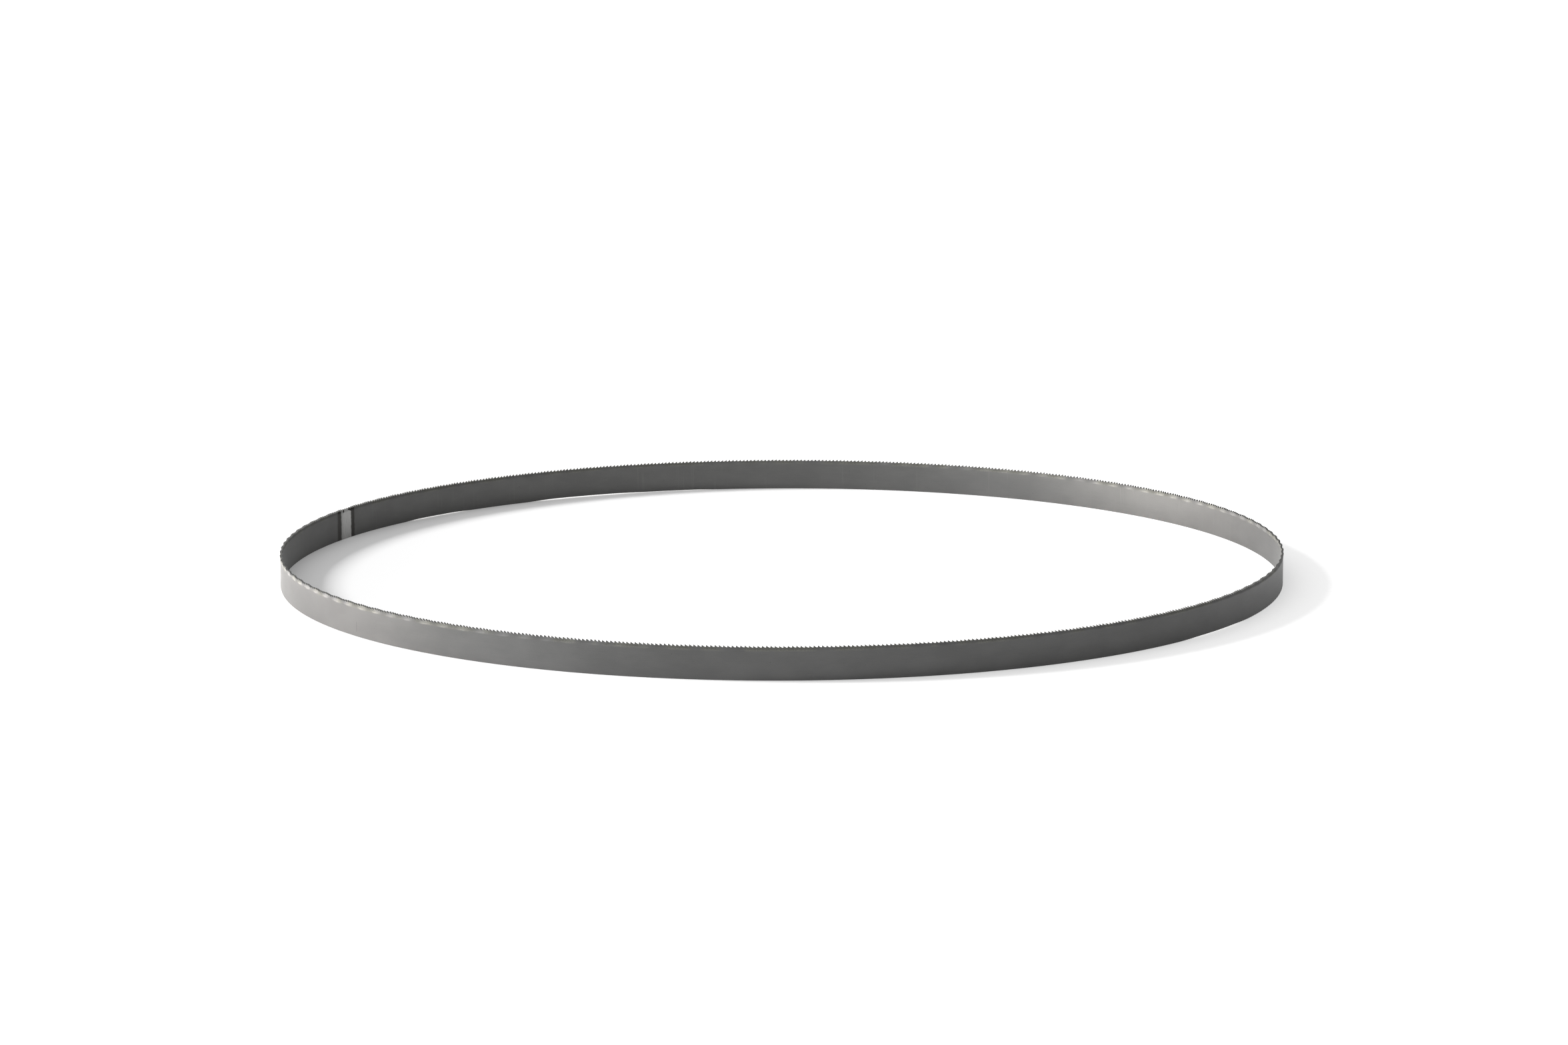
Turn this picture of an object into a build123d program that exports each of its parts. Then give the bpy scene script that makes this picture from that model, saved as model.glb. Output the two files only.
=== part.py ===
from build123d import *
import os
from math import cos, floor, pi, radians, sin

# An endless band saw blade: a steel band, toothed along its upper edge and butt-welded into a loop.
# The band stands on its back edge in the plane Z = 0, with the loop's axis on Z. Lengths are millimetres.

# Band stock, measured to the tooth tips, and the loop that it is cut and welded to
LOOP_LENGTH = 1270.0
BAND_WIDTH = 13.0
BAND_THICKNESS = 0.65

# Teeth: a rake face square to the band, a straight back and a short gullet floor
TOOTH_PITCH = 25.4 / 16
GULLET_DEPTH = 0.68
GULLET_FLOOR = 0.54

# Wavy set: the toothed strip leans to one side of the band and then to the other
SET_STRIP = 1.9
SET_LEAN = 0.26
TEETH_PER_WAVE = 6

# Butt weld: its place round the loop, the least number of teeth left unset there, and how much is ground
# off their tips
WELD_ANGLE = 155.4
UNSET_TEETH = 2
TIP_GRIND = 0.2

# The band follows the loop in flats of this many teeth, 0.014 mm off the true circle at their middles
TEETH_PER_FLAT = 3

tooth_count = round(LOOP_LENGTH / TOOTH_PITCH)
wave_count = floor((tooth_count - UNSET_TEETH) / TEETH_PER_WAVE)
set_count = wave_count * TEETH_PER_WAVE
loop_radius = LOOP_LENGTH / (2 * pi)
floor_height = BAND_WIDTH - GULLET_DEPTH
strip_height = BAND_WIDTH - SET_STRIP
floor_share = GULLET_FLOOR / (LOOP_LENGTH / tooth_count)
OUTER, INNER = 1, -1


def direction(station):
    """The way outwards at a station, counted in teeth round the loop from the end of the weld."""
    weld_middle = (tooth_count + set_count) / 2
    turn = radians(WELD_ANGLE) + 2 * pi * (station - weld_middle) / tooth_count
    return Vector(cos(turn), sin(turn), 0)


def lean(station, height):
    """How far the wavy set carries the band outwards at a place, less than zero where it is inwards."""
    if station >= set_count:
        return 0
    wave = sin(2 * pi * station / TEETH_PER_WAVE)
    return SET_LEAN * wave * (height - strip_height) / SET_STRIP


def root(station, side, height):
    """A place on the plain band's outer or inner face."""
    return direction(station) * (loop_radius + side * BAND_THICKNESS / 2) + Vector(0, 0, height)


def tooth_corner(tooth, along, height, side):
    """A corner of a tooth, whose thickness runs straight across the band at its own tip."""
    station = tooth + along
    middle = direction(station) * loop_radius + Vector(0, 0, height)
    return middle + direction(tooth) * (lean(station, height) + side * BAND_THICKNESS / 2)


def foot(tooth, side):
    return tooth_corner(tooth, 0, floor_height, side)


def tip(tooth, side):
    ground = TIP_GRIND if tooth >= set_count else 0
    return tooth_corner(tooth, 0, BAND_WIDTH - ground, side)


def heel(tooth, side):
    return tooth_corner(tooth, 1 - floor_share, floor_height, side)


def following(tooth):
    return (tooth + 1) % tooth_count


def flat(*corners):
    return Face(Wire.make_polygon(corners))


def across(near, far, here, there):
    """A flat face across the band's thickness, along one line of a tooth's outline."""
    return flat(near(here, OUTER), near(here, INNER), far(there, INNER), far(there, OUTER))


def tooth_faces(tooth):
    """The rake face, the back, the gullet floor and the two flanks of a tooth."""
    return [
        across(foot, tip, tooth, tooth),
        across(tip, heel, tooth, tooth),
        across(heel, foot, tooth, following(tooth)),
        flat(foot(tooth, OUTER), tip(tooth, OUTER), heel(tooth, OUTER)),
        flat(foot(tooth, INNER), tip(tooth, INNER), heel(tooth, INNER)),
    ]


def strip_faces(first, last, side):
    """The leaning strip under a run of teeth, from their feet and gullets down to one flat of the band."""
    start = root(first, side, strip_height)
    end = root(last, side, strip_height)
    middle = (first + last) // 2
    faces = []
    for tooth in range(first, last):
        below = start if tooth <= middle else end
        faces.append(flat(below, foot(tooth, side), heel(tooth, side)))
        below = start if tooth < middle else end
        faces.append(flat(below, heel(tooth, side), foot(following(tooth), side)))
    return faces + [flat(start, heel(middle, side), end)]


def plain_band(flat_starts):
    """The faces of the band below the strip: a ring of flats on its back edge, open at the top."""
    outline = {
        side: Wire.make_polygon([root(start, side, 0) for start in flat_starts])
        for side in (OUTER, INNER)
    }
    back_edge = Face(outline[OUTER], [outline[INNER]])
    return Solid.extrude(back_edge, Vector(0, 0, strip_height)).faces().sort_by(Axis.Z)[:-1]


def saw_band():
    flat_starts = range(0, tooth_count, TEETH_PER_FLAT)
    faces = plain_band(flat_starts)
    for tooth in range(tooth_count):
        faces += tooth_faces(tooth)
    for start in flat_starts:
        end = min(start + TEETH_PER_FLAT, tooth_count)
        for side in (OUTER, INNER):
            faces += strip_faces(start, end, side)
    return Solid(Shell(faces))


os.makedirs("parts", exist_ok=True)
export_step(saw_band(), "parts/saw_band.step", write_pcurves=False)
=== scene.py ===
from math import pi, radians
from typing import NamedTuple

import bpy
from bpy.props import (
    FloatProperty,
    FloatVectorProperty,
    IntProperty,
    PointerProperty,
)
from mathutils import Matrix, Vector


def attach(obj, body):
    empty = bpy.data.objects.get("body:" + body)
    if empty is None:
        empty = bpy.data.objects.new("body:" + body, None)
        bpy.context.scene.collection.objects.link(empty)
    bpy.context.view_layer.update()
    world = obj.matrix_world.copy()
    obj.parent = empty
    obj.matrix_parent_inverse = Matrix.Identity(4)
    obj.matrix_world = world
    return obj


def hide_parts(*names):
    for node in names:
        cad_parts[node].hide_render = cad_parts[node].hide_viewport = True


bl_info = {
    "name": "Band saw blade",
    "version": (1, 0, 0),
    "blender": (4, 5, 0),
    "location": "View3D > Sidebar > Band saw blade",
    "description": "Makes an endless band saw blade round its packed model, and a pale studio for it",
    "category": "Object",
}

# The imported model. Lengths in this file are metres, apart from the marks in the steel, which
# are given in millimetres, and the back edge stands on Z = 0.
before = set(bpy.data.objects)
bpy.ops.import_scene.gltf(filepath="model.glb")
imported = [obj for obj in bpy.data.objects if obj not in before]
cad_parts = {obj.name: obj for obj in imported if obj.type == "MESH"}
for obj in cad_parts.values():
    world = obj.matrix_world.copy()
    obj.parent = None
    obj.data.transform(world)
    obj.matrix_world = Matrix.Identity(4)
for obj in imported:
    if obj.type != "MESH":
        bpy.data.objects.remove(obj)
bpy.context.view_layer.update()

MM = 0.001

# One tooth's outline from its tip to the foot of the next one: the share of the pitch, and the share of
# the gullet's depth above its floor. The second place is level with the foot of the rake face.
TOOTH_OUTLINE = (
    (0.0, 1.0),
    (0.4625, 0.3),
    (0.6, 0.105),
    (0.72, 0.02),
    (0.82, 0.0),
    (0.93, 0.06),
    (1.0, 0.3),
)

# Heights that the band's section is divided at: the back edge, its eased corner, under the set strip, the
# strip's lower line, its middle, the feet of the teeth, and the outline of the teeth
LEVELS = 7

# How far the third of these heights lies under the set strip, as a share of the strip
UNDER_STRIP = 0.15

# The set grows with this power of the height up the strip, so that the strip leans in a curve
SET_CURVE = 1.3

# Where the back edge lifts off the table: the middle and half the width in degrees round the loop, and
# the share of the full lift
LIFTED_PLACES = ((104.5, 8, 0.4), (115.5, 8.5, 0.9), (137.3, 6.5, 0.5), (326, 8, 0.5))

# The share of their half width in which the lifts and the grinding of the tips are at their full measure
FULL_WITHIN = 0.4

# Corners of neighbouring teeth that lie closer than this are one, and edges past this angle stay keen
MERGE_DISTANCE = 0.004 * MM
KEEN_ANGLE = radians(30)

# The mesh's own maps: places along the band and round its section, and the faces that the cutter left
BAND_MAP = "band"
CUT_MARK = "cut"

# The inputs of the band's geometry tree that its sizes give, and their kinds
BAND_INPUTS = (
    ("Loop Length", "Float"),
    ("Band Width", "Float"),
    ("Band Thickness", "Float"),
    ("Edge Ease", "Float"),
    ("Tooth Count", "Int"),
    ("Gullet Depth", "Float"),
    ("Set Strip", "Float"),
    ("Set Lean", "Float"),
    ("Teeth Per Wave", "Int"),
    ("Unset Teeth", "Int"),
    ("Weld Angle", "Float"),
    ("Tip Grind", "Float"),
    ("Ground Length", "Float"),
    ("Edge Lift", "Float"),
)


class Marks(NamedTuple):
    """Uneven marks in the steel: their run along the band and climb up it in millimetres, their noise, and
    the slope of the noise, from where a mark starts to where it is full."""

    run: float
    climb: float
    detail: float
    roughness: float
    slope: tuple = ()


GRAIN = Marks(run=20, climb=0.11, detail=3, roughness=0.6)
MOTTLE = Marks(run=0.33, climb=0.33, detail=2, roughness=0.7)
CLOUDS = Marks(run=17, climb=8, detail=3, roughness=0.55, slope=(0.3, 0.7))
SPOTS = Marks(run=1, climb=0.8, detail=1, roughness=0.5, slope=(0.76, 0.8))
# Lighter streaks across the inner face: partly handling marks, partly a painted reflection of the band's
# waviness
HANDLING_AND_SHEEN_STREAKS = Marks(run=1.4, climb=33, detail=2, roughness=0.6, slope=(0.6, 0.74))
OIL_PATCHES = Marks(run=9, climb=9, detail=2, roughness=0.5, slope=(0.42, 0.58))
OIL_SPECKS = Marks(run=0.5, climb=0.45, detail=2, roughness=0.6, slope=(0.35, 0.65))
RAGGED_EDGE = Marks(run=3.3, climb=1.4, detail=3, roughness=0.65)
GRINDING = Marks(run=0.2, climb=4, detail=3, roughness=0.7, slope=(0.3, 0.7))

# The clouds' strength beside the grain's, and how deep the grain is
CLOUD_STRENGTH = 0.5
GRAIN_DEPTH = 0.01 * MM

# Slopes up the band, from where a mark starts to where it is full, over the set strip's lower line
STRIP_SLOPE = (-0.1, 0.8)
OIL_SLOPE = (-0.5, 0.5)
RUN_OUT_SLOPE = (-0.1, 1.1)

# The weld's marks along the band. Their slopes are counted from the start and the end of the ground length,
# which wander over a width of RAGGED_WIDTH. Under the teeth the ground steel starts RUN_OUT later. From
# DULL_START past the weld's middle it dulls towards its end, by a share of DULLING.
RAGGED_WIDTH = 1.2
GROUND_START = (-0.45, -0.1)
GROUND_END = (0.1, -0.7)
SCALE_START = (-3.4, -2.6)
SCALE_END = (3.8, 2.2)
RUN_OUT = 2.6
DULL_START = 1.0
DULLING = 0.25

# A small pit in the weld's inner face: its place along from the weld's middle and over the set strip's
# lower line, its half width and half height, and its rim as a slope over those
PIT_PLACE = (1.6, 0.9)
PIT_SIZE = (0.5, 0.8)
PIT_RIM = (1.2, 0.8)

# An upright scratch on the outer face, at the left front: its place along the band from the weld, and its
# slopes to both sides, from below and from above
SCRATCH_PLACE = 214.8
SCRATCH_SIDES = (0.3, 0.1)
SCRATCH_FOOT = (1.6, 2.2)
SCRATCH_TOP = (6.2, 5.2)

# How much rougher the set strip and the outside of the weld are than the rolled faces
ROUGHER = 0.32

# The paper lies just under the back edge. It is lit best at one place, and to the camera it whitens over a
# slope of distances from there, with a share of that white in the steel.
FLOOR_LEVEL = -0.02 * MM
BEST_LIT_PLACE = (-0.35, 0.05, 0)
WHITENING_SLOPE = (0.1, 0.75)
WHITE_IN_STEEL = 0.5

# The room, whose sky light grows with this power of the height overhead. The slopes run from -1 at the left
# to 1 at the right: where the sky dims, and where the walls pale.
SKY_CURVE = 0.4
DIM_SLOPE = (0.2, 0.8)
WALL_SLOPE = (0.75, -0.4)


class Lamp(NamedTuple):
    """A rectangular lamp: its middle, its width and height, and the point that it faces"""

    place: tuple
    width: float
    height: float
    aim: tuple


# Two low panels stand at the left, and a softbox hangs high up and further off
PANEL_LEVEL = 0.11
PANEL_AIM = (0, 0, PANEL_LEVEL)
WALL_PANEL = Lamp((-1.0, 0.42, PANEL_LEVEL), width=1.15, height=0.2, aim=PANEL_AIM)
FILL_PANEL = Lamp((-0.95, -0.5, PANEL_LEVEL), width=0.75, height=0.2, aim=PANEL_AIM)
SOFTBOX = Lamp((-3.86, 0.54, 2.25), width=1.05, height=1.05, aim=(0, 0, 0))


def size_property(name, description, default, **limits):
    return FloatProperty(
        name=name, description=description, default=default, unit="LENGTH", precision=5, **limits
    )


def light_property(name, description, default):
    return FloatProperty(name=name, description=description, default=default, min=0)


def angle_property(name, description, default):
    return FloatProperty(name=name, description=description, default=radians(default), subtype="ANGLE")


def colour_property(name, description, default):
    return FloatVectorProperty(
        name=name, description=description, default=default, min=0, max=1, size=3, subtype="COLOR"
    )


def count_property(name, description, default, least=1):
    return IntProperty(name=name, description=description, default=default, min=least)


class BladeSizes(bpy.types.PropertyGroup):
    """Sizes of the band, its teeth, its set and its weld"""

    loop_length: size_property("Loop length", "Length round the middle of the band", 1270 * MM)
    band_width: size_property("Band width", "From the back edge to the tooth tips", 13 * MM)
    band_thickness: size_property("Band thickness", "Thickness of the strip", 0.65 * MM)
    edge_ease: size_property("Edge ease", "Chamfer on both corners of the back edge", 0.08 * MM)
    tooth_count: count_property("Teeth", "Teeth round the loop", 800, least=3)
    gullet_depth: size_property("Gullet depth", "From the tooth tips to the gullet floors", 0.68 * MM)
    set_strip: size_property("Set strip", "Height of the strip that the wavy set bends", 1.9 * MM)
    set_lean: size_property("Set lean", "How far the tips lean to each side", 0.26 * MM)
    teeth_per_wave: count_property("Teeth per wave", "Teeth in a wave of the set", 6)
    unset_teeth: count_property("Unset teeth", "Least number left unset at the weld", 2, least=0)
    weld_angle: angle_property("Weld angle", "Where the weld lies round the loop, from +X", 155.4)
    tip_grind: size_property("Tip grind", "How much is ground off the tips over the weld", 0.2 * MM)
    ground_length: size_property("Ground length", "How much of the band is ground at the weld", 8.4 * MM)
    edge_lift: size_property("Edge lift", "How far the back edge rises off the table in places", 0.4 * MM)


class BladeFinish(bpy.types.PropertyGroup):
    """Colours of the steel"""

    steel: colour_property("Steel", "Rolled and tempered strip", (0.114, 0.114, 0.113))
    # The inner steel is a little lighter than the outer only as painted light: it lifts the inner faces'
    # shading
    inner: colour_property("Inner steel", "The face that runs on the wheels", (0.12, 0.12, 0.118))
    ground: colour_property("Ground steel", "Bright steel inside the weld", (0.45, 0.45, 0.443))
    outer_ground: colour_property("Outer ground", "Duller steel outside the weld", (0.2, 0.2, 0.197))
    heat: colour_property("Heat tint", "Scale left beside the weld", (0.047, 0.045, 0.042))
    cut: colour_property("Cut steel", "Faces of the teeth that the cutter left", (0.2, 0.2, 0.195))
    # Real oil traces, with their colour also painted lighter to offset the set strip's darker shading
    stain_and_brightening: colour_property("Stain", "Traces of oil under the teeth", (0.148, 0.148, 0.134))


class StudioSizes(bpy.types.PropertyGroup):
    """The camera, the floor and the lamps"""

    distance: size_property("Distance", "From the camera to the middle of the loop, level", 2.1259)
    height: size_property("Height", "Height of the camera over the floor", 0.4146)
    pitch: angle_property("Pitch", "How far the camera looks down", 10.4661)
    yaw: angle_property("Yaw", "How far the camera looks to the right", 0.0256)
    roll: angle_property("Roll", "How far the camera turns counterclockwise", -0.1425)
    lens: FloatProperty(name="Lens", description="Focal length", default=122.54, unit="CAMERA")
    floor_side: size_property("Floor side", "Side of the square floor", 18)
    wall_light: light_property("Wall light", "Radiance of the low panel at the left rear", 31)
    wall_colour: colour_property("Wall colour", "Colour of the panel at the left rear", (1, 0.955, 0.92))
    fill_light: light_property("Fill light", "Radiance of the low panel at the left front", 6)
    softbox_light: light_property("Softbox light", "Radiance of the softbox at the upper left", 55)
    sky_light: light_property("Sky light", "Radiance straight overhead", 0.7)
    right_dim: light_property("Right dim", "Share of the sky's light that is missing at the right", 0.4)
    room_light: light_property("Room light", "Radiance of the room at the horizon", 0.03)
    wall_white: light_property("Wall white", "Whiteness of the room's walls in the steel", 0.85)
    floor_glow: light_property("Floor glow", "Whiteness that the camera sees far from the loop", 0.5)


class Graph:
    """Adds nodes to a node tree, with their inputs given as values or as other nodes' sockets."""

    def __init__(self, tree):
        self.tree = tree

    def add(self, kind, inputs=None, out=0, **options):
        node = self.tree.nodes.new(kind)
        for name, value in options.items():
            setattr(node, name, value)
        for key, value in (inputs or {}).items():
            self.feed(node.inputs[key], value)
        return node.outputs[out] if node.outputs else node

    def feed(self, socket, value):
        if isinstance(value, bpy.types.NodeSocket):
            self.tree.links.new(value, socket)
        else:
            socket.default_value = value

    def math(self, operation, *values, **options):
        return self.add("ShaderNodeMath", dict(enumerate(values)), operation=operation, **options)

    def smooth(self, value, start, end):
        """0 at start, 1 at end, and smooth between them."""
        inputs = {"Value": value, "From Min": start, "From Max": end}
        return self.add("ShaderNodeMapRange", inputs, interpolation_type="SMOOTHSTEP")

    def between(self, value, rise, fall):
        """1 between two slopes, each given by where it is 0 and where it is 1."""
        return self.math("MULTIPLY", self.smooth(value, *rise), self.smooth(value, *fall))

    def ranged(self, share, low, high):
        """A number from low to high, by a share from 0 to 1."""
        return self.math("MULTIPLY_ADD", share, high - low, low)

    def vector(self, x, y, z=0.0):
        return self.add("ShaderNodeCombineXYZ", {"X": x, "Y": y, "Z": z})

    def split(self, vector):
        node = self.add("ShaderNodeSeparateXYZ", {"Vector": vector}).node
        return node.outputs["X"], node.outputs["Y"], node.outputs["Z"]

    def blend(self, mask, under, over, cover=1.0):
        """One colour laid over another by a mask, at a share of its strength."""
        if cover < 1:
            mask = self.math("MULTIPLY", mask, cover)
        return self.add("ShaderNodeMix", {0: mask, 6: under, 7: over}, out=2, data_type="RGBA")

    def scaled(self, colour, factor):
        """A colour made lighter or darker by a factor."""
        return self.add("ShaderNodeVectorMath", {0: colour, "Scale": factor}, operation="SCALE")

    def noise(self, place, detail, roughness):
        inputs = {"Vector": place, "Scale": 1.0, "Detail": detail, "Roughness": roughness}
        return self.add("ShaderNodeTexNoise", inputs)

    def seen_rays(self, in_steel=1.0):
        """1 for the rays that show a surface to the camera or through glass, a share of that for those that
        show it in steel, and 0 for lighting."""
        ray = self.add("ShaderNodeLightPath").node.outputs
        glossy = self.math("MULTIPLY", ray["Is Glossy Ray"], in_steel)
        seen = self.math("MAXIMUM", ray["Is Camera Ray"], glossy)
        return self.math("MAXIMUM", seen, ray["Is Transmission Ray"])

    def lookup(self, index, *values):
        """One of several numbers, chosen by a whole number from 0."""
        node = self.add("GeometryNodeIndexSwitch", {"Index": index}, data_type="FLOAT").node
        while len(node.index_switch_items) < len(values):
            node.index_switch_items.new()
        for place, value in enumerate(values, 1):
            self.feed(node.inputs[place], value)
        return node.outputs[0]

    def store(self, geometry, name, value, data_type, domain):
        """Geometry that carries a named map."""
        inputs = {"Geometry": geometry, "Name": name, "Value": value}
        return self.add("GeometryNodeStoreNamedAttribute", inputs, data_type=data_type, domain=domain)


def tree_inputs(tree, inputs):
    """Gives a node group its inputs and returns their sockets by name."""
    for name, kind in inputs:
        tree.interface.new_socket(name, in_out="INPUT", socket_type="NodeSocket" + kind)
    return tree.nodes.new("NodeGroupInput").outputs


def tooth_module(g, size, pitch):
    """One tooth and the band under it, straight: X along the band, Y outwards, Z up from the back edge."""
    rows = 2 * LEVELS + 1
    index = g.add("GeometryNodeInputIndex")
    column = g.math("FLOOR", g.math("DIVIDE", index, rows))
    row = g.math("MODULO", g.math("MODULO", index, rows), rows - 1)
    level = g.math("MINIMUM", row, g.math("SUBTRACT", rows - 2, row))
    side = g.math("SUBTRACT", 1, g.math("MULTIPLY", 2, g.math("GREATER_THAN", row, LEVELS - 0.5)))

    along = g.math("MULTIPLY", g.lookup(column, *(place for place, _ in TOOTH_OUTLINE)), pitch)
    rise = g.lookup(column, *(height for _, height in TOOTH_OUTLINE))
    gullet_floor = g.math("SUBTRACT", size["Band Width"], size["Gullet Depth"])
    outline = g.math("MULTIPLY_ADD", rise, size["Gullet Depth"], gullet_floor)
    foot = g.math("MULTIPLY_ADD", TOOTH_OUTLINE[-1][1], size["Gullet Depth"], gullet_floor)
    top_of_strip = g.math("MINIMUM", outline, foot)
    strip = g.math("SUBTRACT", size["Band Width"], size["Set Strip"])
    under_strip = g.math("MULTIPLY_ADD", -UNDER_STRIP, size["Set Strip"], strip)
    middle = g.math("MULTIPLY", g.math("ADD", strip, top_of_strip), 0.5)
    height = g.lookup(
        level, 0.0, size["Edge Ease"], under_strip, strip, middle, top_of_strip, outline
    )
    eased = g.math("MULTIPLY", size["Edge Ease"], g.math("LESS_THAN", level, 0.5))
    half = g.math("MULTIPLY", size["Band Thickness"], 0.5)
    across = g.math("MULTIPLY", side, g.math("SUBTRACT", half, eased))
    sleeve = g.add(
        "GeometryNodeMeshGrid", {"Vertices X": len(TOOTH_OUTLINE), "Vertices Y": rows}
    )
    sleeve = g.add(
        "GeometryNodeSetPosition", {"Geometry": sleeve, "Position": g.vector(along, across, height)}
    )

    rake_side = g.math("SUBTRACT", g.math("MULTIPLY", 2, g.math("MODULO", index, 2)), 1)
    rake_height = g.lookup(g.math("GREATER_THAN", index, 1.5), size["Band Width"], foot)
    rake_place = g.vector(0.0, g.math("MULTIPLY", rake_side, half), rake_height)
    rake = g.add("GeometryNodeMeshGrid", {"Vertices X": 2, "Vertices Y": 2})
    rake = g.add("GeometryNodeSetPosition", {"Geometry": rake, "Position": rake_place})

    joined = g.add("GeometryNodeJoinGeometry")
    for part in (sleeve, rake):
        g.tree.links.new(part, joined.node.inputs[0])
    return joined


def lift_off_table(g, size, angle, climb):
    """How far the band rises at an angle round the loop, most at its back edge and not at its tips."""
    lift = 0.0
    for middle, half_width, share in LIFTED_PLACES:
        away = g.math("WRAP", g.math("SUBTRACT", angle, radians(middle)), pi, -pi)
        near = g.smooth(
            g.math("ABSOLUTE", away), radians(half_width), radians(half_width * FULL_WITHIN)
        )
        lift = g.math("MULTIPLY_ADD", near, share, lift)
    lift = g.math("MULTIPLY", lift, size["Edge Lift"])
    return g.math("MULTIPLY", lift, g.math("SUBTRACT", 1, climb, use_clamp=True))


def saw_band_tree():
    """The straight toothed strip is made from one tooth, then set, ground and bent round to a loop."""
    tree = bpy.data.node_groups.new("Saw band", "GeometryNodeTree")
    size = tree_inputs(tree, BAND_INPUTS + (("Material", "Material"),))
    tree.interface.new_socket("Geometry", in_out="OUTPUT", socket_type="NodeSocketGeometry")
    g = Graph(tree)
    pitch = g.math("DIVIDE", size["Loop Length"], size["Tooth Count"])

    tooth = tooth_module(g, size, pitch)
    starts = g.add(
        "GeometryNodeMeshLine",
        {"Count": size["Tooth Count"], "Offset": g.vector(pitch, 0.0)},
    )
    strip = g.add("GeometryNodeInstanceOnPoints", {"Points": starts, "Instance": tooth})
    strip = g.add("GeometryNodeRealizeInstances", {"Geometry": strip})

    x, y, z = g.split(g.add("GeometryNodeInputPosition"))
    station = g.math("DIVIDE", x, pitch)

    # The map goes along the band, and round its section: up the outer face and down the inner one
    climb = g.math("DIVIDE", z, size["Band Width"])
    round_section = g.math(
        "MULTIPLY", 0.5, g.lookup(g.math("LESS_THAN", y, 0), climb, g.math("SUBTRACT", 2, climb))
    )
    map_place = g.vector(g.math("DIVIDE", x, size["Loop Length"]), round_section)
    strip = g.store(strip, BAND_MAP, map_place, "FLOAT2", "CORNER")
    _, facing, _ = g.split(g.add("GeometryNodeInputNormal"))
    cut_face = g.math("LESS_THAN", g.math("ABSOLUTE", facing), 0.5)
    strip = g.store(strip, CUT_MARK, cut_face, "FLOAT", "FACE")

    # The wavy set leans the strip to one side and the other, in whole waves that end at the weld
    unset = g.math("SUBTRACT", size["Tooth Count"], size["Unset Teeth"])
    waves = g.math("FLOOR", g.math("DIVIDE", unset, size["Teeth Per Wave"]))
    set_teeth = g.math("MULTIPLY", waves, size["Teeth Per Wave"])
    wave = g.math("SINE", g.math("DIVIDE", g.math("MULTIPLY", station, 2 * pi), size["Teeth Per Wave"]))
    set_here = g.math("MULTIPLY", wave, g.math("LESS_THAN", station, set_teeth))
    strip_line = g.math("SUBTRACT", size["Band Width"], size["Set Strip"])
    up_strip = g.math("DIVIDE", g.math("SUBTRACT", z, strip_line), size["Set Strip"], use_clamp=True)
    lean_here = g.math("MULTIPLY", set_here, size["Set Lean"])
    lean = g.math("MULTIPLY", g.math("POWER", up_strip, SET_CURVE), lean_here)
    leant = g.math("ADD", y, lean)

    # Grinding the weld flush shortens the teeth over it, and the back edge lifts off the table in places
    weld_station = g.math("MULTIPLY", g.math("ADD", size["Tooth Count"], set_teeth), 0.5)
    from_weld = g.math("MULTIPLY", g.math("SUBTRACT", station, weld_station), pitch)
    half_loop = g.math("MULTIPLY", size["Loop Length"], 0.5)
    from_weld = g.math("WRAP", from_weld, half_loop, g.math("MULTIPLY", half_loop, -1))
    half_ground = g.math("MULTIPLY", size["Ground Length"], 0.5)
    fully_ground = g.math("MULTIPLY", half_ground, FULL_WITHIN)
    over_weld = g.smooth(g.math("ABSOLUTE", from_weld), half_ground, fully_ground)
    gullet_floor = g.math("SUBTRACT", size["Band Width"], size["Gullet Depth"])
    up_tooth = g.math("DIVIDE", g.math("SUBTRACT", z, gullet_floor), size["Gullet Depth"], use_clamp=True)
    ground = g.math("MULTIPLY", g.math("MULTIPLY", up_tooth, over_weld), size["Tip Grind"])

    angle = g.math("MULTIPLY", g.math("SUBTRACT", station, weld_station), 2 * pi)
    angle = g.math("ADD", g.math("DIVIDE", angle, size["Tooth Count"]), size["Weld Angle"])
    lift = lift_off_table(g, size, angle, climb)
    height = g.math("ADD", g.math("SUBTRACT", z, ground), lift)

    radius = g.math("ADD", g.math("DIVIDE", size["Loop Length"], 2 * pi), leant)
    bent = g.vector(
        g.math("MULTIPLY", radius, g.math("COSINE", angle)),
        g.math("MULTIPLY", radius, g.math("SINE", angle)),
        height,
    )
    loop = g.add("GeometryNodeSetPosition", {"Geometry": strip, "Position": bent})
    loop = g.add("GeometryNodeMergeByDistance", {"Geometry": loop, "Distance": MERGE_DISTANCE})
    keen = g.math("GREATER_THAN", g.add("GeometryNodeInputMeshEdgeAngle"), KEEN_ANGLE)
    for smooth, domain in ((True, "FACE"), (g.math("SUBTRACT", 1, keen), "EDGE")):
        inputs = {"Geometry": loop, "Shade Smooth": smooth}
        loop = g.add("GeometryNodeSetShadeSmooth", inputs, domain=domain)
    loop = g.add("GeometryNodeRealizeInstances", {"Geometry": loop})
    loop = g.add("GeometryNodeSetMaterial", {"Geometry": loop, "Material": size["Material"]})
    g.add("NodeGroupOutput", {"Geometry": loop})
    return tree


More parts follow.
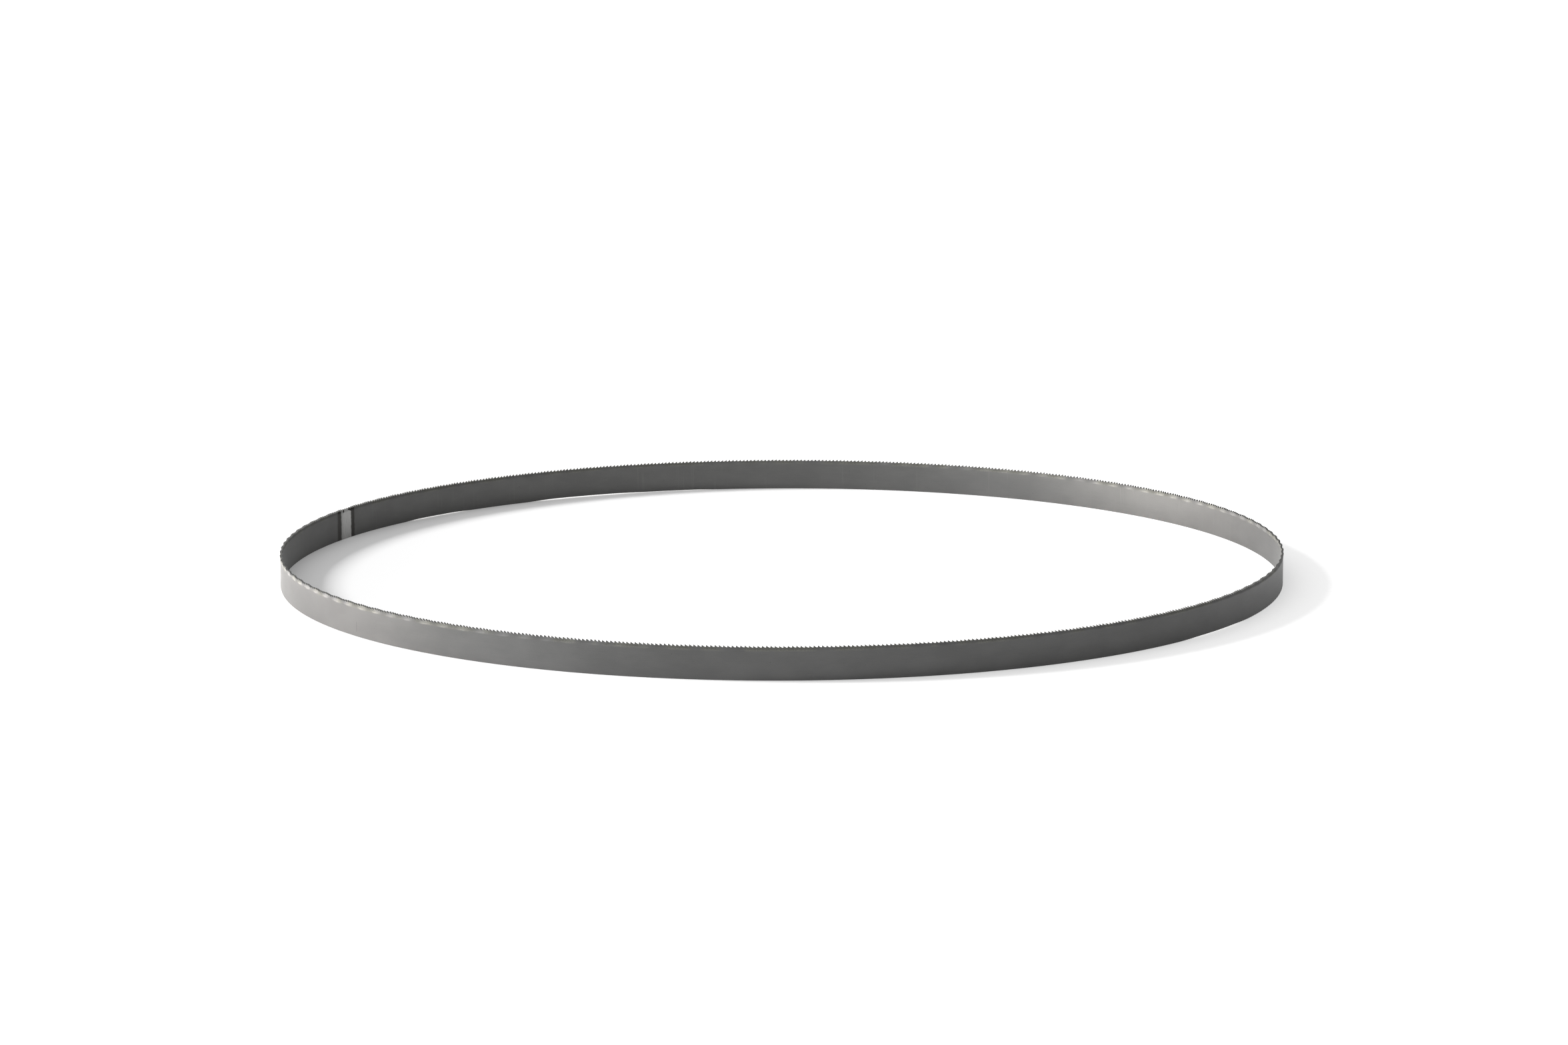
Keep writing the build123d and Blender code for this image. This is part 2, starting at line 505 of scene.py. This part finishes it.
def made_by(tree, name, values):
    """A plain mesh object of what a geometry tree makes from its named inputs."""
    piece = bpy.data.objects.new(name, bpy.data.meshes.new(name))
    bpy.context.scene.collection.objects.link(piece)
    modifier = piece.modifiers.new(name, "NODES")
    modifier.node_group = tree
    for socket in tree.interface.items_tree:
        if socket.in_out == "INPUT":
            modifier[socket.identifier] = values[socket.name]
    depsgraph = bpy.context.evaluated_depsgraph_get()
    mesh = bpy.data.meshes.new_from_object(
        piece.evaluated_get(depsgraph), preserve_all_data_layers=True, depsgraph=depsgraph
    )
    piece.modifiers.clear()
    empty = piece.data
    piece.data = mesh
    bpy.data.meshes.remove(empty)
    mesh.name = name
    mesh.materials.clear()
    mesh.materials.append(values["Material"])
    return piece


def new_material(name):
    material = bpy.data.materials.new(name)
    material.use_nodes = True
    material.node_tree.nodes.clear()
    return material, Graph(material.node_tree)


def shade(colour, share=1.0):
    """A colour made lighter or darker, with its alpha."""
    return tuple(channel * share for channel in colour) + (1.0,)


class BandFaces:
    """Places on the band's faces in millimetres, as its material reads them, and the marks made there."""

    def __init__(self, g, sizes):
        self.g = g
        width = sizes.band_width / MM
        length = sizes.loop_length / MM
        u, v, _ = g.split(g.add("ShaderNodeUVMap", uv_map=BAND_MAP))
        self.along = g.math("MULTIPLY", u, length)
        self.section = g.math("MULTIPLY", v, 2 * width)
        from_tips = g.math("ABSOLUTE", g.math("SUBTRACT", self.section, width))
        self.height = g.math("SUBTRACT", width, from_tips)
        self.strip_line = width - sizes.set_strip / MM
        self.set_strip = self.over_strip_line(STRIP_SLOPE)
        self.inner = g.math("GREATER_THAN", self.section, width)
        self.outer = g.math("SUBTRACT", 1, self.inner)

        # The weld lies in the middle of the teeth that the whole waves of the set leave over
        over = (sizes.tooth_count - sizes.unset_teeth) % sizes.teeth_per_wave + sizes.unset_teeth
        past_weld = g.math("ADD", self.along, over / 2 * length / sizes.tooth_count)
        self.from_weld = g.math("WRAP", past_weld, length / 2, -length / 2)
        self.half_ground = sizes.ground_length / MM / 2

    def marks(self, kind):
        """The noise of one kind of marks, or a mask of it for the marks that have a slope."""
        g = self.g
        place = g.vector(g.math("DIVIDE", self.along, kind.run), g.math("DIVIDE", self.section, kind.climb))
        noise = g.noise(place, kind.detail, kind.roughness)
        return g.smooth(noise, *kind.slope) if kind.slope else noise

    def over_strip_line(self, slope):
        """A mask that rises over a slope of heights from the set strip's lower line."""
        start, end = slope
        return self.g.smooth(self.height, self.strip_line + start, self.strip_line + end)

    def round_weld(self, start, end):
        """Slopes from the weld's middle, where they are given from the ground length's start and end."""
        return (
            [place - self.half_ground for place in start],
            [place + self.half_ground for place in end],
        )


def rolled_steel(g, faces, finish, grain):
    """Both faces, with a fine grain along the band, slow changes of tone and small dark spots. The inner
    face is painted a little lighter, as painted light, and carries lighter streaks across it that are
    partly handling marks and partly a painted reflection of the band's waviness. The set strip is painted
    lighter, to offset the darker shading that its extra roughness gives."""
    # The inner face's lighter colour is painted light, not a different steel
    steel = g.blend(faces.inner, shade(finish.steel), shade(finish.inner))
    fine = g.math("ADD", grain, faces.marks(MOTTLE))
    fine = g.math("MULTIPLY_ADD", faces.marks(CLOUDS), CLOUD_STRENGTH, fine)
    fine = g.ranged(fine, low=0.75, high=0.95)
    # Painted brightening: the set strip is painted lighter to offset the darker shading that its extra
    # roughness gives
    fine = g.math("MULTIPLY", fine, g.ranged(faces.set_strip, low=1, high=1.27))
    steel = g.scaled(steel, fine)
    steel = g.blend(faces.marks(SPOTS), steel, shade(finish.steel, share=0.5), cover=0.5)
    # Lighter streaks on the inner face: partly handling marks, partly painted reflection of the band's
    # waviness
    handling_and_sheen_streaks = g.math("MULTIPLY", faces.marks(HANDLING_AND_SHEEN_STREAKS), faces.inner)
    return g.blend(handling_and_sheen_streaks, steel, shade(finish.inner, share=1.1))


def with_oil(g, faces, finish, steel):
    """Speckled traces of oil under the teeth, whose colour is also painted lighter to offset the set
    strip's darker shading.
    """
    stained = g.math("MULTIPLY", faces.over_strip_line(OIL_SLOPE), faces.marks(OIL_PATCHES))
    dark, light = shade(finish.stain_and_brightening, share=0.82), shade(finish.stain_and_brightening, share=1.18)
    oil = g.blend(faces.marks(OIL_SPECKS), dark, light)
    return g.blend(stained, steel, oil, cover=0.85)


def with_weld(g, faces, finish, steel):
    """The weld in the steel: bright ground steel between two bands of scale, with a small pit. Also gives
    the mask of the ground steel."""
    ragged = g.math("SUBTRACT", faces.marks(RAGGED_EDGE), 0.5)
    place = g.math("MULTIPLY_ADD", ragged, RAGGED_WIDTH, faces.from_weld)
    scale_mask = g.between(place, *faces.round_weld(SCALE_START, SCALE_END))
    steel = g.blend(scale_mask, steel, shade(finish.heat))

    start, end = faces.round_weld(GROUND_START, GROUND_END)
    run_out = g.math("MULTIPLY", faces.over_strip_line(RUN_OUT_SLOPE), RUN_OUT)
    past_start = g.smooth(g.math("SUBTRACT", place, run_out), *start)
    ground_mask = g.math("MULTIPLY", past_start, g.smooth(place, *end))
    ground = g.blend(faces.inner, shade(finish.outer_ground), shade(finish.ground))
    scratched = g.ranged(faces.marks(GRINDING), low=0.8, high=1.1)
    dulled = g.math("MULTIPLY", g.smooth(place, DULL_START, faces.half_ground), DULLING)
    ground = g.scaled(ground, g.math("SUBTRACT", scratched, dulled))
    steel = g.blend(ground_mask, steel, ground)

    pit_along, pit_height = PIT_PLACE
    from_pit = g.vector(
        g.math("DIVIDE", g.math("SUBTRACT", faces.from_weld, pit_along), PIT_SIZE[0]),
        g.math("DIVIDE", g.math("SUBTRACT", faces.height, faces.strip_line + pit_height), PIT_SIZE[1]),
    )
    from_pit = g.add("ShaderNodeVectorMath", {0: from_pit}, out="Value", operation="LENGTH")
    pit = g.math("MULTIPLY", g.smooth(from_pit, *PIT_RIM), faces.inner)
    return g.blend(pit, steel, shade(finish.heat, share=0.7)), ground_mask


def with_scratch(g, faces, finish, steel):
    """One upright scratch on the outer face."""
    away = g.math("ABSOLUTE", g.math("SUBTRACT", faces.from_weld, SCRATCH_PLACE))
    scratch = g.math("MULTIPLY", g.smooth(away, *SCRATCH_SIDES), faces.outer)
    scratch = g.math("MULTIPLY", scratch, g.between(faces.height, SCRATCH_FOOT, SCRATCH_TOP))
    return g.blend(scratch, steel, shade(finish.heat), cover=0.45)


def blade_steel(finish, sizes):
    """Rolled steel with a fine lengthwise grain, a ground weld between heat bands, and paler cut teeth."""
    material, g = new_material("blade_steel")
    faces = BandFaces(g, sizes)
    grain = faces.marks(GRAIN)
    steel = rolled_steel(g, faces, finish, grain)
    steel = with_oil(g, faces, finish, steel)
    steel, ground_mask = with_weld(g, faces, finish, steel)
    steel = with_scratch(g, faces, finish, steel)
    cut = g.add("ShaderNodeAttribute", out="Fac", attribute_name=CUT_MARK)
    steel = g.blend(cut, steel, shade(finish.cut), cover=0.85)

    rough = g.math("MAXIMUM", faces.set_strip, g.math("MULTIPLY", ground_mask, faces.outer))
    roughness = g.math("MULTIPLY_ADD", rough, ROUGHER, g.ranged(grain, low=0.34, high=0.46))
    shader = g.add(
        "ShaderNodeBsdfPrincipled",
        {
            "Base Color": steel,
            "Metallic": 1.0,
            "Specular Tint": (0.92, 0.92, 0.92, 1.0),
            "Roughness": roughness,
            "Normal": g.add(
                "ShaderNodeBump", {"Height": grain, "Distance": GRAIN_DEPTH, "Strength": 0.35}
            ),
        },
    )
    g.add("ShaderNodeOutputMaterial", {"Surface": shader})
    return material


class BLADE_OT_saw_band(bpy.types.Operator):
    """Make the toothed and welded band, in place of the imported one"""

    bl_idname = "blade.saw_band"
    bl_label = "Saw band"

    def execute(self, context):
        sizes = context.scene.blade_sizes
        values = {name: getattr(sizes, name.lower().replace(" ", "_")) for name, _ in BAND_INPUTS}
        values["Material"] = blade_steel(context.scene.blade_finish, sizes)
        band = made_by(saw_band_tree(), "toothed_band", values)
        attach(band, "root")
        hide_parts("saw_band")
        return {"FINISHED"}


def floor_paper(studio):
    """White paper that keeps the blade's shadow, and whitens to the camera where the lamps' light fades."""
    material, g = new_material("floor_paper")
    place = g.add("ShaderNodeTexCoord", out="Object")
    away = g.add(
        "ShaderNodeVectorMath", {0: place, 1: BEST_LIT_PLACE}, out="Value", operation="DISTANCE"
    )
    glow = g.math("MULTIPLY", g.smooth(away, *WHITENING_SLOPE), studio.floor_glow)
    glow = g.math("MULTIPLY", glow, g.seen_rays(in_steel=WHITE_IN_STEEL))
    paper = g.add("ShaderNodeBsdfDiffuse", {"Color": (0.9, 0.9, 0.9, 1)})
    white = g.add("ShaderNodeEmission", {"Color": (1, 1, 1, 1), "Strength": glow})
    g.add("ShaderNodeOutputMaterial", {"Surface": g.add("ShaderNodeAddShader", {0: paper, 1: white})})
    return material


def paper_floor(studio):
    """A square of paper for the band to stand on."""
    half = studio.floor_side / 2
    corners = [(x, y, FLOOR_LEVEL) for x, y in ((-half, -half), (half, -half), (half, half), (-half, half))]
    mesh = bpy.data.meshes.new("floor")
    mesh.from_pydata(corners, [], [(0, 1, 2, 3)])
    mesh.materials.append(floor_paper(studio))
    return bpy.data.objects.new("floor", mesh)


def studio_world(studio):
    """A room lit from above, whose pale walls show to the camera and in the steel, less so at the right."""
    world = bpy.data.worlds.new("studio")
    world.use_nodes = True
    world.node_tree.nodes.clear()
    g = Graph(world.node_tree)
    right, _, up = g.split(g.add("ShaderNodeTexCoord", out="Generated"))
    overhead = g.math("POWER", g.math("MAXIMUM", up, 0), SKY_CURVE)
    dim = g.math("MULTIPLY", g.smooth(right, *DIM_SLOPE), -studio.right_dim)
    overhead = g.math("MULTIPLY_ADD", overhead, dim, overhead)
    sky = g.math("MULTIPLY_ADD", overhead, studio.sky_light, studio.room_light)
    wall = g.math("MULTIPLY", g.smooth(right, *WALL_SLOPE), g.math("SUBTRACT", 1, up, use_clamp=True))
    wall = g.math("MULTIPLY", wall, studio.wall_white)
    strength = g.math("MULTIPLY_ADD", wall, g.seen_rays(), sky)
    background = g.add("ShaderNodeBackground", {"Color": (1, 1, 1, 1), "Strength": strength})
    g.add("ShaderNodeOutputWorld", {"Surface": background})
    return world


def area_lamp(name, lamp, radiance, colour=(1, 1, 1)):
    """A soft lamp of even radiance."""
    light = bpy.data.lights.new(name, "AREA")
    light.shape = "RECTANGLE"
    light.size = lamp.width
    light.size_y = lamp.height
    light.energy = radiance * pi * lamp.width * lamp.height
    light.color = colour
    placed = bpy.data.objects.new(name, light)
    placed.location = lamp.place
    facing = Vector(lamp.aim) - Vector(lamp.place)
    placed.rotation_euler = facing.to_track_quat("-Z", "Y").to_euler()
    return placed


def studio_camera(studio):
    """The camera in front of the loop, looking down at it."""
    lens = bpy.data.cameras.new("camera")
    lens.lens = studio.lens
    camera = bpy.data.objects.new("camera", lens)
    turned = (
        Matrix.Rotation(-studio.yaw, 4, "Z")
        @ Matrix.Rotation(pi / 2 - studio.pitch, 4, "X")
        @ Matrix.Rotation(studio.roll, 4, "Z")
    )
    camera.matrix_world = Matrix.Translation((0, -studio.distance, studio.height)) @ turned
    return camera


class BLADE_OT_studio(bpy.types.Operator):
    """Set up the floor, the lamps and the camera"""

    bl_idname = "blade.studio"
    bl_label = "Studio"

    def execute(self, context):
        scene = context.scene
        studio = scene.blade_studio
        floor = paper_floor(studio)
        scene.collection.objects.link(floor)

        scene.world = studio_world(studio)
        for lamp in (
            area_lamp("wall", WALL_PANEL, studio.wall_light, studio.wall_colour),
            area_lamp("fill", FILL_PANEL, studio.fill_light),
            area_lamp("softbox", SOFTBOX, studio.softbox_light),
        ):
            scene.collection.objects.link(lamp)

        scene.camera = studio_camera(studio)
        scene.collection.objects.link(scene.camera)
        scene.view_settings.view_transform = "Standard"
        return {"FINISHED"}


class BLADE_PT_sidebar(bpy.types.Panel):
    """The blade's sizes, colours and studio"""

    bl_idname = "BLADE_PT_sidebar"
    bl_label = "Band saw blade"
    bl_space_type = "VIEW_3D"
    bl_region_type = "UI"
    bl_category = "Band saw blade"

    def draw(self, context):
        for operator, group in (
            (BLADE_OT_saw_band, "blade_sizes"),
            (None, "blade_finish"),
            (BLADE_OT_studio, "blade_studio"),
        ):
            box = self.layout.box()
            settings = getattr(context.scene, group)
            for name in settings.__annotations__:
                box.prop(settings, name)
            if operator:
                box.operator(operator.bl_idname)


CLASSES = (
    BladeSizes,
    BladeFinish,
    StudioSizes,
    BLADE_OT_saw_band,
    BLADE_OT_studio,
    BLADE_PT_sidebar,
)


def register():
    for each in CLASSES:
        bpy.utils.register_class(each)
    bpy.types.Scene.blade_sizes = PointerProperty(type=BladeSizes)
    bpy.types.Scene.blade_finish = PointerProperty(type=BladeFinish)
    bpy.types.Scene.blade_studio = PointerProperty(type=StudioSizes)


def unregister():
    del bpy.types.Scene.blade_studio
    del bpy.types.Scene.blade_finish
    del bpy.types.Scene.blade_sizes
    for each in reversed(CLASSES):
        bpy.utils.unregister_class(each)


def main():
    register()
    bpy.ops.blade.saw_band()
    bpy.ops.blade.studio()


if __name__ == "__main__":
    main()
